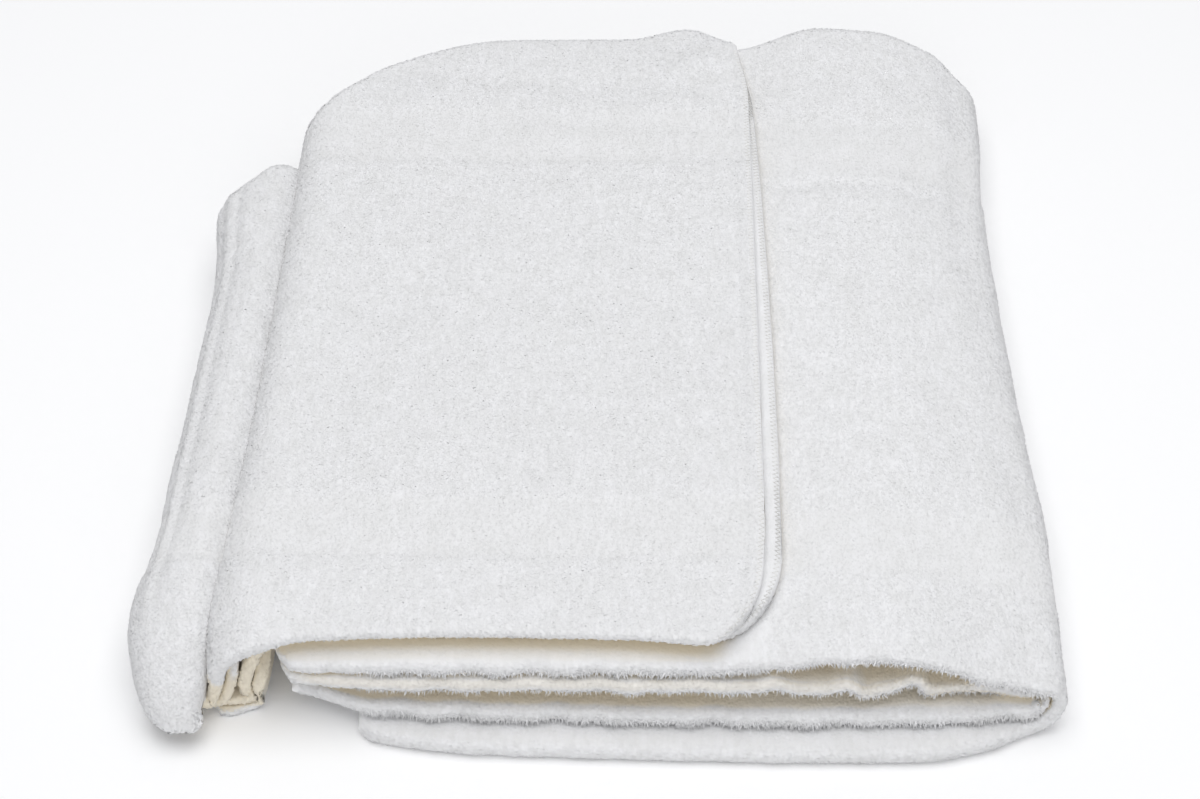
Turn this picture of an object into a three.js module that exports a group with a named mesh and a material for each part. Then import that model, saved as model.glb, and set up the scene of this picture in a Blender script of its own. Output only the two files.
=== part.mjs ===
// A bath towel of white terry cloth, folded in half and then back and forth into a flat stack.
// Millimetres, +Z up. The cloth lies on z = 0, with its open edges to the front, at low y.

import * as THREE from 'three';
import { mergeVertices } from 'three/addons/utils/BufferGeometryUtils.js';

// Cloth
const slit = 0.6;            // gap between the two layers of the folded strip
const lip = 2.2;             // length over which a layer's front edge rounds off
const endRound = 3;          // the same at the strip's two free ends
const endFlatness = 0.4;     // share of the thickness left at the very end
const hemCorner = 19;        // radius of the sewn corners, seen from above
const lowerLead = 24;        // how far the core layer runs past the wrap layer at the lower end
const upperLag = 6;          // how far the wrap layer runs past the core layer at the upper end
const leadFade = 70;         // length over which the two layers come level again
const cornerTuck = 5;        // how far the upper end bows inwards at its front corner
const tuckDepth = 75;        // depth at which that end runs straight again

// How the stack swells, sways and droops over its depth
const crown = 0.045;         // share by which the middle stands higher than the edges
const crownFront = 10;
const crownBack = 360;
const tongueRoot = 52;       // where the left bundle's front end starts to round down
const tongueTip = 3.5;         // where the middle of its cloth meets the floor
const tongueAxis = -144;     // the side to side middle that the rounded end closes towards
const floorSnap = 0.7;       // cloth nearer to the floor than this lies flat on it

// Crumpled core layer inside the right fold
const crumpleLength = 25;    // from one crumple to the next
const crumpleDepth = 0.55;   // share of the slack taken up by the crumples
const crumpleFrom = 40;      // depth at which the crumples start to smooth out
const crumpleTo = 330;       // depth at which they are gone, at the back fold

// Mesh
const shortest = 0.5;
const straightStep = 17;
const crumpleStep = 6;
const bendStep = THREE.MathUtils.degToRad(23);
const frontDepths = [10, 18, 30, tongueRoot];
const depthStep = 0.5;
const depthShares = [0.3, 0.64, 1];
const backAngles = [45, 90, 135].map(THREE.MathUtils.degToRad);

// The folded strip seen from the front, a row for each corner from its lower free end to its upper one.
// x, z: the corner, on the middle of the strip. bend: its radius. ply: thickness of one layer.
// wrap, core: depth of each layer's front edge. back: depth of the fold that joins them.
// droop: how far this stretch follows the bundle's rounded front end. slack: spare room of the core layer.
const folds = [
  { x: -109, z: 6.6, bend: 0, ply: 6.3, wrap: 30, core: 18, back: 348, droop: 0, slack: 0 },          // lower end
  { x: -78, z: 6.6, bend: 0, ply: 6.3, wrap: 2.5, core: 9.5, back: 352, droop: 0, slack: 0 },
  { x: -40, z: 6.6, bend: 0, ply: 6.3, wrap: -2, core: 8.2, back: 355, droop: 0, slack: 0 },
  { x: 55, z: 6.6, bend: 0, ply: 6.3, wrap: -3, core: 7.8, back: 360, droop: 0, slack: 0 },
  { x: 110, z: 6.6, bend: 0, ply: 6.2, wrap: -1.6, core: 9.5, back: 362, droop: 0, slack: 0 },
  { x: 155.6, z: 6.6, bend: 7.2, ply: 5.7, wrap: 12.5, core: 17, back: 336, droop: 0, slack: 0 },     // right fold
  { x: 155.6, z: 21.5, bend: 7.2, ply: 5.3, wrap: 16, core: 19, back: 340, droop: 0, slack: 0.5 },
  { x: 140, z: 28.6, bend: 26, ply: 5.3, wrap: 15, core: 18, back: 358, droop: 0, slack: 4 },
  { x: 117, z: 33.3, bend: 60, ply: 5.2, wrap: 15, core: 16, back: 369, droop: 0, slack: 10 },
  { x: 90, z: 34.4, bend: 60, ply: 5.2, wrap: 15, core: 12, back: 370, droop: 0, slack: 12 },         // crest
  { x: 36, z: 28.6, bend: 90, ply: 5.2, wrap: 13, core: 10, back: 357, droop: 0, slack: 0.8 },
  { x: -60, z: 27.3, bend: 0, ply: 5.2, wrap: 13, core: 10, back: 347, droop: 0.09, slack: 0 },
  { x: -107, z: 27.1, bend: 0, ply: 4.8, wrap: 15, core: 13, back: 331, droop: 0.3, slack: 0 },
  { x: -120.7, z: 27, bend: 6.6, ply: 3.7, wrap: 27, core: 26, back: 306, droop: 0.45, slack: 0 },      // inner leg
  { x: -120.7, z: 3.2, bend: 5.8, ply: 2.9, wrap: 20, core: 15.5, back: 286, droop: 0, slack: 0 },
  { x: -133, z: 3.2, bend: 0, ply: 2.9, wrap: 18, core: 9.5, back: 278, droop: 0, slack: 0 },         // floor pass
  { x: -142, z: 3.2, bend: 0, ply: 2.9, wrap: 20, core: 11, back: 270, droop: 0, slack: 0 },
  { x: -163.4, z: 3.2, bend: 8.5, ply: 3.6, wrap: 26, core: 9, back: 250, droop: 1, slack: 0 },       // outer leg
  { x: -163.4, z: 18, bend: 0, ply: 4.1, wrap: 27, core: 3.8, back: 248, droop: 1, slack: 0 },
  { x: -163.4, z: 33, bend: 11, ply: 4.1, wrap: 28, core: 3.8, back: 252, droop: 1, slack: 0 },       // ridge
  { x: -138.6, z: 33, bend: 6.5, ply: 3.8, wrap: 28, core: 3.5, back: 268, droop: 1, slack: 0 },
  { x: -138.6, z: 24, bend: 0, ply: 3.6, wrap: 26, core: 6.5, back: 271, droop: 1, slack: 0 },
  { x: -138.6, z: 18, bend: 0, ply: 3.5, wrap: 26, core: 16, back: 273, droop: 0.6, slack: 0 },
  { x: -138.6, z: 10.8, bend: 4.6, ply: 2.9, wrap: 26, core: 23, back: 275, droop: 0.05, slack: 0 }, // valley
  { x: -129.4, z: 10.8, bend: 4.6, ply: 2.9, wrap: 22, core: 22, back: 279, droop: 0.05, slack: 0 },
  { x: -129.4, z: 38, bend: 15.5, ply: 3.9, wrap: 23, core: 17.5, back: 300, droop: 0.35, slack: 0 }, // flap
  { x: -100, z: 38, bend: 0, ply: 4.4, wrap: 24, core: 19, back: 334, droop: 0.2, slack: 0 },
  { x: -50, z: 38.3, bend: 0, ply: 4.6, wrap: 24, core: 20.2, back: 353, droop: 0.06, slack: 0 },
  { x: 8, z: 38.9, bend: 90, ply: 4.6, wrap: 24, core: 19.4, back: 354.5, droop: 0, slack: 0 },
  { x: 34, z: 40.1, bend: 90, ply: 4.6, wrap: 22, core: 16.7, back: 361, droop: 0, slack: 0 },
  { x: 57.5, z: 41.7, bend: 0, ply: 4.4, wrap: 22, core: 15, back: 350, droop: 0, slack: 0 },         // upper end
];

// How the outline's two sides wander from front to back.
const sides = [
  { y: 30, left: -2, right: 1.6 },
  { y: 70, left: 3.2, right: 2.4 },
  { y: 140, left: 5, right: -0.8 },
  { y: 205, left: 5.5, right: -2.8 },
  { y: 255, left: 0.3, right: -3.4 },
  { y: 330, left: 0, right: 0.3 },
];
const leftSway = { from: -140, to: -166 };
const rightSway = { from: 90, to: 150 };

// The rows' corners joined by straight stretches and round bends, with the distance along the strip.
class FoldPath {
  constructor(rows) {
    this.pieces = [];
    this.marks = [0];
    this.length = 0;
    const corners = rows.map((row) => new THREE.Vector2(row.x, row.z));
    let start = corners[0];
    for (let i = 1; i < corners.length; i += 1) {
      const heading = corners[i].clone().sub(corners[i - 1]).normalize();
      const next = corners[i + 1] ? corners[i + 1].clone().sub(corners[i]).normalize() : heading;
      const turn = Math.atan2(heading.cross(next), heading.dot(next));
      const cut = rows[i].bend * Math.tan(Math.abs(turn) / 2);
      const end = corners[i].clone().addScaledVector(heading, -cut);
      this.addStraight(start, heading, end.clone().sub(start).dot(heading));
      if (cut > 0) this.addBend(end, heading, turn, rows[i].bend);
      this.marks.push(this.length - (rows[i].bend * Math.abs(turn)) / 2);
      start = corners[i].clone().addScaledVector(next, cut);
    }
  }

  addStraight(start, heading, length) {
    const at = (along) => ({ point: start.clone().addScaledVector(heading, along), heading });
    this.pieces.push({ from: this.length, length, turn: 0, at });
    this.length += length;
  }

  addBend(start, heading, turn, radius) {
    const centre = heading.clone().rotateAround(new THREE.Vector2(), (Math.sign(turn) * Math.PI) / 2);
    centre.multiplyScalar(radius).add(start);
    const at = (along) => {
      const angle = (Math.sign(turn) * along) / radius;
      const turned = heading.clone().rotateAround(new THREE.Vector2(), angle);
      return { point: start.clone().rotateAround(centre, angle), heading: turned };
    };
    this.pieces.push({ from: this.length, length: radius * Math.abs(turn), turn, at });
    this.length += radius * Math.abs(turn);
  }

  at(distance) {
    const piece = this.pieces.findLast((candidate) => candidate.from <= distance) ?? this.pieces[0];
    return piece.at(distance - piece.from);
  }
}

// A smooth value through the rows of a table, which never swings past them.
function smoothTable(places, values) {
  const last = places.length - 1;
  const slopes = values.slice(1).map((value, i) => (value - values[i]) / (places[i + 1] - places[i]));
  const tilt = (i) => {
    if (i === 0 || i === last || slopes[i - 1] * slopes[i] <= 0) return 0;
    return (2 * slopes[i - 1] * slopes[i]) / (slopes[i - 1] + slopes[i]);
  };
  const tilts = values.map((_, i) => tilt(i));
  return (place) => {
    if (place <= places[0]) return values[0];
    if (place >= places[last]) return values[last];
    const i = places.findLastIndex((known) => known <= place);
    const gap = places[i + 1] - places[i];
    const t = (place - places[i]) / gap;
    const rise = t * t * (3 - 2 * t);
    const start = t * (1 - t) * (1 - t) * gap * tilts[i];
    const end = t * t * (t - 1) * gap * tilts[i + 1];
    return values[i] + (values[i + 1] - values[i]) * rise + start + end;
  };
}

const path = new FoldPath(folds);
const along = (column) => smoothTable(path.marks, folds.map((row) => row[column]));
const strip = {
  ply: along('ply'),
  wrap: along('wrap'),
  core: along('core'),
  back: along('back'),
  droop: along('droop'),
  slack: along('slack'),
};
const overDepth = (column) => smoothTable(sides.map((row) => row.y), sides.map((row) => row[column]));
const sway = { left: overDepth('left'), right: overDepth('right') };

// The middle of the strip at a distance along it and a depth from the front.
function middle(distance, y) {
  const { point } = path.at(distance);
  const swell = Math.sin(Math.PI * THREE.MathUtils.clamp((y - crownFront) / (crownBack - crownFront), 0, 1));
  let z = point.y * (1 + crown * swell);
  let x = point.x;
  x += sway.left(y) * (1 - THREE.MathUtils.smoothstep(x, leftSway.to, leftSway.from));
  x += sway.right(y) * THREE.MathUtils.smoothstep(x, rightSway.from, rightSway.to);
  const reach = THREE.MathUtils.clamp((tongueRoot - y) / (tongueRoot - tongueTip), 0, 1);
  const closing = strip.droop(distance) * (1 - Math.sqrt(1 - reach * reach));
  z *= 1 - closing;
  if (x < tongueAxis) x += (tongueAxis - x) * closing;
  return new THREE.Vector3(x, y, z);
}

// The same point with the cloth's two directions there: across the strip's depth, and outwards of the wrap layer.
function frameAt(distance, y) {
  const step = 0.05;
  const forward = middle(distance + step, y).sub(middle(distance - step, y)).normalize();
  const inwards = middle(distance, y + step).sub(middle(distance, y)).normalize();
  const out = inwards.clone().cross(forward).normalize();
  return { point: middle(distance, y), inwards, out };
}

// Where along the strip a layer's cloth is, because its layers end at different places.
// layer runs from 1 on the wrap layer, round the back fold, to -1 on the core layer.
function layerDistance(distance, layer, y) {
  const apart = 1 - THREE.MathUtils.clamp(y / strip.back(distance), 0, 1) ** 3;
  const onWrap = Math.max(0, layer) * apart;
  const lower = Math.max(0, 1 - distance / leadFade);
  const upper = Math.max(0, 1 - (path.length - distance) / leadFade);
  const tuck = cornerTuck * (1 - THREE.MathUtils.smoothstep(y, lip, tuckDepth));
  return distance + lower * lowerLead * onWrap + upper * (upperLag * onWrap - tuck);
}

// How much further back the front edge is at a rounded corner of the cloth.
function cornerSetback(toEnd) {
  if (toEnd >= hemCorner) return 0;
  return hemCorner - Math.sqrt(hemCorner ** 2 - (hemCorner - toEnd) ** 2);
}

// One layer's thickness, drawn in at the strip's free ends.
function plyAt(distance) {
  const toEnd = Math.min(distance, path.length - distance);
  const short = THREE.MathUtils.clamp(1 - toEnd / endRound, 0, 1);
  return strip.ply(distance) * (endFlatness + (1 - endFlatness) * Math.sqrt(1 - short * short));
}

// How far the core layer stands off the wrap layer, in crumples that fade towards the back fold.
function crumple(distance, y) {
  const wave = 1 - crumpleDepth * (0.5 + 0.5 * Math.cos((2 * Math.PI * distance) / crumpleLength));
  return strip.slack(distance) * wave * (1 - THREE.MathUtils.smoothstep(y, crumpleFrom, crumpleTo));
}

// One layer's stations from its front edge to the back fold: its near and far face, and the edge's nose.
// side is 1 for the wrap layer and -1 for the core layer.
function layerStations(distance, side) {
  const edgeTable = side > 0 ? strip.wrap : strip.core;
  const front = edgeTable(layerDistance(distance, side, 0)) + cornerSetback(path.length - distance);
  const back = strip.back(distance);
  const edge = frameAt(layerDistance(distance, side, front), front);
  const first = front + lip * edge.inwards.y;
  const depths = [first, ...frontDepths.map((depth, i) => Math.max(depth, first + depthStep * (i + 1)))];
  const root = depths[depths.length - 1];
  depths.push(...depthShares.map((share) => root + (back - root) * share));
  const ply = plyAt(distance);
  const stations = depths.map((y) => {
    const { point, out } = frameAt(layerDistance(distance, side, y), y);
    const off = side < 0 ? crumple(distance, y) : 0;
    const near = point.clone().addScaledVector(out, side * (slit / 2 + off));
    const far = point.clone().addScaledVector(out, side * (slit / 2 + ply + off));
    return { near, far };
  });
  const off = side < 0 ? crumple(distance, front) : 0;
  const nose = edge.point.addScaledVector(edge.out, side * (slit / 2 + ply / 2 + off));
  return { stations, nose };
}

// The closed outline of both layers and their back fold at one distance along the strip.
function sectionRing(distance) {
  const wrap = layerStations(distance, 1);
  const core = layerStations(distance, -1);
  const back = strip.back(distance);
  const outer = slit / 2 + plyAt(distance);
  const bend = backAngles.map((angle) => {
    const at = (radius) => {
      const y = back + radius * Math.sin(angle);
      const { point, out } = frameAt(layerDistance(distance, Math.cos(angle), y), y);
      return point.addScaledVector(out, radius * Math.cos(angle));
    };
    return { near: at(slit / 2), far: at(outer) };
  });
  const chain = [...wrap.stations, ...bend, ...core.stations.reverse()];
  const far = chain.map((station) => station.far);
  const near = chain.map((station) => station.near).reverse();
  return [...far, core.nose, ...near, wrap.nose];
}

// Distances along the strip, close together in the bends, the crumples and at the free ends.
function ringDistances() {
  const ends = [0, 0.9, 3, 7, 12, 18];
  const zone = ends[ends.length - 1];
  const places = path.pieces.filter((piece) => piece.length > shortest).flatMap(({ from, length, turn }) => {
    const bends = Math.abs(turn) / bendStep;
    const limit = strip.slack(from + length / 2) > 1 ? crumpleStep : straightStep;
    const count = Math.max(1, Math.ceil(bends), Math.ceil(length / limit));
    return Array.from({ length: count }, (_, i) => from + (length * i) / count);
  });
  const inner = places.filter((place) => place > zone + 2 && place < path.length - zone - 2);
  return [...ends, ...inner, ...ends.map((end) => path.length - end).reverse()];
}

// The solid between neighbouring rings, with a cap at each free end.
function foldedCloth() {
  const rings = ringDistances().map(sectionRing);
  const size = rings[0].length;
  const half = (size - 2) / 2;
  const positions = rings.flat().flatMap(({ x, y, z }) => [x, y, z < floorSnap ? 0 : z]);
  const faces = [];
  const quad = (a, b, c, d) => faces.push(a, b, c, a, c, d);
  for (let ring = 0; ring < rings.length - 1; ring += 1) {
    for (let i = 0; i < size; i += 1) {
      const here = ring * size + i;
      const beside = ring * size + ((i + 1) % size);
      quad(here, beside, beside + size, here + size);
    }
  }
  const last = (rings.length - 1) * size;
  for (let i = 0; i < half - 1; i += 1) {
    const partner = size - 2 - i;
    quad(i, partner, partner - 1, i + 1);
    quad(last + i, last + i + 1, last + partner - 1, last + partner);
  }
  const [wrapNose, coreNose] = [size - 1, half];
  faces.push(0, wrapNose, size - 2);
  faces.push(half - 1, half + 1, coreNose);
  faces.push(last, last + size - 2, last + wrapNose);
  faces.push(last + half - 1, last + coreNose, last + half + 1);
  const geometry = new THREE.BufferGeometry();
  geometry.setAttribute('position', new THREE.Float32BufferAttribute(positions, 3));
  geometry.setIndex(faces);
  return mergeVertices(geometry, 1e-4);
}

// Stands the towel's box on the origin.
function centred(geometry) {
  geometry.computeBoundingBox();
  const middlePoint = geometry.boundingBox.getCenter(new THREE.Vector3());
  return geometry.translate(-middlePoint.x, -middlePoint.y, -geometry.boundingBox.min.z);
}

const terry = new THREE.MeshStandardMaterial({ color: 0xf0f0ef, roughness: 0.95, metalness: 0 });
const towel = new THREE.Mesh(centred(foldedCloth()), terry);
towel.name = 'towel';

const group = new THREE.Group();
group.add(towel);

export default group;
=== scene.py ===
"""A white terry bath towel, folded in half and then back and forth into a flat stack.

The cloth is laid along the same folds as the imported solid, whose sizes it repeats, and gets what the
solid leaves out: rounded lips, soft creases, woven bands, a looped pile and overlocked ends.
Sizes are in millimetres, as a sewing room gives them, until a mesh is made; meshes are in metres.
"""

import logging
import math
from dataclasses import dataclass
from enum import Enum

import bmesh
import bpy
import numpy as np
from mathutils import Euler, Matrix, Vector, noise
from mathutils.bvhtree import BVHTree


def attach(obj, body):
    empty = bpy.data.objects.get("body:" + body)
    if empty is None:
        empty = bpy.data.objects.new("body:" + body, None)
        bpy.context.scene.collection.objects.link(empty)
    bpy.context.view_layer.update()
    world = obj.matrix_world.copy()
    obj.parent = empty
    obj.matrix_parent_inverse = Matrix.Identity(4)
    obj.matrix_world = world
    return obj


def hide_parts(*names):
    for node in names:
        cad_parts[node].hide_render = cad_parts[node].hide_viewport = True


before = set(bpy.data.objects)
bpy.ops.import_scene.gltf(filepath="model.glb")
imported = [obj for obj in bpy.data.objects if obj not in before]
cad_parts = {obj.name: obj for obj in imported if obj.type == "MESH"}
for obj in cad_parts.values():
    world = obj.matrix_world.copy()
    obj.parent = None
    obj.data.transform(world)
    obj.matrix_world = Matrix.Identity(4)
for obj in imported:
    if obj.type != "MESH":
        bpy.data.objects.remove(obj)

LOG = logging.getLogger("bath_towel")
MM = 0.001
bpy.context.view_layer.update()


class Side(Enum):
    """The two layers of the folded strip."""

    WRAP = 1
    CORE = -1


class Zone(Enum):
    """The stretches of cloth that carry a pile mesh of their own."""

    NONE = 0
    FLAP_FRONT = 1
    FLAP_BACK = 2
    CREST = 3
    BUNDLE = 4
    LIPS = 5
    BACK = 6


@dataclass(frozen=True)
class Fold:
    """One corner of the folded strip, seen from the front, in millimetres.

    x and z place the corner on the strip's middle, and bend is its radius. ply is the thickness of one
    layer. wrap and core are the depths of the layers' front edges, and back that of the fold between
    them. droop says how far the stretch follows the bundle's rounded front end, and slack is the spare
    room of the core layer. open_wrap and open_core say how far each layer's outer face lies open, and
    plump how far the core layer swells there to meet its neighbour.
    """

    x: float
    z: float
    bend: float
    ply: float
    wrap: float
    core: float
    back: float
    droop: float = 0.0
    slack: float = 0.0
    open_wrap: float = 0.0
    open_core: float = 0.0
    plump: float = 0.0


LOWER_RUN = (
    Fold(-109, 6.6, 0, 6.3, 30, 18, 348),
    Fold(-78, 6.6, 0, 6.3, 2.5, 9.5, 352),
    Fold(-40, 6.6, 0, 6.3, -2, 8.2, 355),
    Fold(55, 6.6, 0, 6.3, -3, 7.8, 360),
    Fold(110, 6.6, 0, 6.2, -1.8, 9.5, 362),
    Fold(133, 6.6, 0, 5.9, 3.2, 11.5, 354),
)
RIGHT_FOLD = (
    Fold(155.6, 6.6, 7.2, 5.9, 13, 14.5, 339, open_wrap=0.6),
    Fold(155.6, 21.5, 7.2, 5.6, 16, 17, 343, slack=0.5, open_wrap=1),
)
UPPER_RUN = (
    Fold(140, 28.6, 26, 5.3, 15, 18, 360, slack=4, open_wrap=1),
    Fold(117, 33.3, 60, 5.2, 15, 16, 369, slack=10, open_wrap=1),
    Fold(90, 34.4, 60, 5.2, 15, 12, 370, slack=12, open_wrap=1),
    Fold(61, 31.4, 90, 5.2, 14, 11, 359, slack=5, open_wrap=1),
    Fold(53, 30.4, 0, 5.2, 13.5, 10.5, 357, slack=3, open_wrap=0.2),
    Fold(36, 28.6, 0, 5.2, 13, 10, 357, slack=0.8),
    Fold(-60, 27.3, 0, 5.2, 13, 10, 347, droop=0.09),
    Fold(-107, 27.1, 0, 4.8, 15, 13, 331, droop=0.3),
    Fold(-110.5, 27.1, 0, 4.6, 18, 17, 326, droop=0.33),
    Fold(-112.5, 27, 0, 4.5, 26, 28, 322, droop=0.35),
)
INNER_LEG = (
    Fold(-120.7, 27, 6.6, 4.5, 20.5, 29, 306, droop=0.4),
    Fold(-120.7, 17, 0, 4.6, 18, 18.5, 298, droop=0.3),
    Fold(-120.7, 3.2, 5.8, 3.1, 16.5, 16.5, 286),
)
FLOOR_PASS = (
    Fold(-133, 3.2, 0, 2.9, 15.5, 13, 278),
    Fold(-142, 3.2, 0, 2.9, 17, 24, 270),
)
RIDGE = (
    Fold(-163.4, 3.2, 8.5, 3.6, 26, 16, 250, droop=1, open_core=1),
    Fold(-163.4, 18, 0, 4.1, 27, 9, 248, droop=1, open_core=1),
    Fold(-163.4, 33, 11, 4.1, 28, 4.2, 252, droop=1, open_core=1),
    Fold(-138.6, 33, 6.5, 3.8, 24, 4.0, 268, droop=1, open_core=1, plump=4.6),
    Fold(-138.6, 24, 0, 3.6, 20, 6.2, 271, droop=1, open_core=0.3, plump=3.0),
)
VALLEY = (
    Fold(-138.6, 18, 0, 3.5, 16, 9.6, 273, droop=0.75),
    Fold(-138.6, 10.8, 4.6, 3.2, 14.5, 11, 275, droop=0.3),
    Fold(-129.4, 10.8, 4.6, 3.8, 15, 12.5, 279, droop=0.05),
)
FLAP = (
    Fold(-129.4, 38, 15.5, 3.9, 22, 15.5, 300, droop=0.6, open_core=1, plump=5.4),
    Fold(-100, 38, 0, 4.4, 24, 19, 334, droop=0.2, open_core=1),
    Fold(-50, 38.3, 0, 4.6, 24, 20.2, 353, droop=0.06, open_core=1),
    Fold(8, 38.9, 90, 4.6, 24, 19.4, 354.5, open_core=1),
    Fold(34, 40.1, 90, 4.6, 22, 16.7, 361, open_core=1),
    Fold(57.5, 41.7, 0, 4.4, 22, 15, 350, open_core=1),
)
STRIP_FOLDS = (*LOWER_RUN, *RIGHT_FOLD, *UPPER_RUN, *INNER_LEG, *FLOOR_PASS, *RIDGE, *VALLEY, *FLAP)


@dataclass(frozen=True)
class Wander:
    """How far the outline's two sides stand out at one depth, in millimetres."""

    y: float
    left: float
    right: float


SIDE_WANDER = (
    Wander(30, -2, 1.6),
    Wander(70, 3.2, 2.4),
    Wander(140, 5, -0.8),
    Wander(205, 5.5, -2.8),
    Wander(255, 0.3, -3.4),
    Wander(330, 0, 0.3),
)


def smoothstep(value: np.ndarray, low: float, high: float) -> np.ndarray:
    """A smooth rise from 0 at low to 1 at high."""
    share = np.clip((value - low) / (high - low), 0, 1)
    return share * share * (3 - 2 * share)


def bump(value: np.ndarray, middle: float, width: float) -> np.ndarray:
    """A soft round rise of height 1 that is width across at half its height."""
    return np.exp(-((value - middle) ** 2) * (4 * math.log(2) / width**2))


class SmoothTable:
    """A smooth value through the rows of a table, which never swings past them."""

    def __init__(self, places: list[float], values: list[float]) -> None:
        """Args:
        places: where each row stands.
        values: the value at each place.
        """
        self.places = np.array(places, float)
        self.values = np.array(values, float)
        slopes = np.diff(self.values) / np.diff(self.places)
        before, after = slopes[:-1], slopes[1:]
        same_way = before * after > 0
        total = np.where(same_way, before + after, 1)
        self.tilts = np.zeros(len(self.values))
        self.tilts[1:-1] = np.where(same_way, 2 * before * after / total, 0)

    def __call__(self, place: np.ndarray) -> np.ndarray:
        """Returns: the value at each place."""
        place = np.clip(place, self.places[0], self.places[-1])
        i = np.clip(np.searchsorted(self.places, place, side="right") - 1, 0, len(self.places) - 2)
        gap = self.places[i + 1] - self.places[i]
        t = (place - self.places[i]) / gap
        rise = t * t * (3 - 2 * t)
        leave = t * (1 - t) ** 2 * gap * self.tilts[i]
        reach = t * t * (t - 1) * gap * self.tilts[i + 1]
        return self.values[i] + (self.values[i + 1] - self.values[i]) * rise + leave + reach


class FoldPath:
    """The corners joined by straight stretches and round bends, with the distance along the strip."""

    def __init__(self, rows: tuple[Fold, ...]) -> None:
        """Args:
        rows: the corners, from the strip's lower free end to its upper one.
        """
        self.marks = [0.0]
        self.length = 0.0
        self.pieces: list[tuple[float, np.ndarray, np.ndarray, float]] = []
        corners = [np.array((row.x, row.z)) for row in rows]
        start = corners[0]
        for i in range(1, len(corners)):
            heading = self.unit(corners[i] - corners[i - 1])
            onward = self.unit(corners[i + 1] - corners[i]) if i + 1 < len(corners) else heading
            turn = math.atan2(heading[0] * onward[1] - heading[1] * onward[0], float(heading @ onward))
            cut = rows[i].bend * math.tan(abs(turn) / 2)
            self.add(start, heading, float((corners[i] - heading * cut - start) @ heading), 0.0)
            if cut > 0:
                bend_length = rows[i].bend * abs(turn)
                curve = math.copysign(1 / rows[i].bend, turn)
                self.add(corners[i] - heading * cut, heading, bend_length, curve)
            self.marks.append(self.length - rows[i].bend * abs(turn) / 2)
            start = corners[i] + onward * cut
        self.starts = np.array([piece[0] for piece in self.pieces])
        self.origins = np.array([piece[1] for piece in self.pieces])
        self.headings = np.array([piece[2] for piece in self.pieces])
        self.curves = np.array([piece[3] for piece in self.pieces])

    @staticmethod
    def unit(vector: np.ndarray) -> np.ndarray:
        """The same direction with a length of 1."""
        return vector / np.linalg.norm(vector)

    def add(self, start: np.ndarray, heading: np.ndarray, length: float, curve: float) -> None:
        """Adds one stretch, straight where curve is 0 and else an arc of that curvature."""
        self.pieces.append((self.length, start, heading, curve))
        self.length += length

    def at(self, distance: np.ndarray) -> tuple[np.ndarray, np.ndarray]:
        """Returns: x and z of the strip's middle at each distance along it."""
        i = np.clip(np.searchsorted(self.starts, distance, side="right") - 1, 0, len(self.starts) - 1)
        along = distance - self.starts[i]
        curve = self.curves[i]
        bent = curve != 0
        safe = np.where(bent, curve, 1.0)
        ahead = np.where(bent, np.sin(safe * along) / safe, along)
        aside = np.where(bent, (1 - np.cos(safe * along)) / safe, 0.0)
        heading_x, heading_z = self.headings[i][..., 0], self.headings[i][..., 1]
        x = self.origins[i][..., 0] + heading_x * ahead - heading_z * aside
        z = self.origins[i][..., 1] + heading_z * ahead + heading_x * aside
        return x, z


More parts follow.
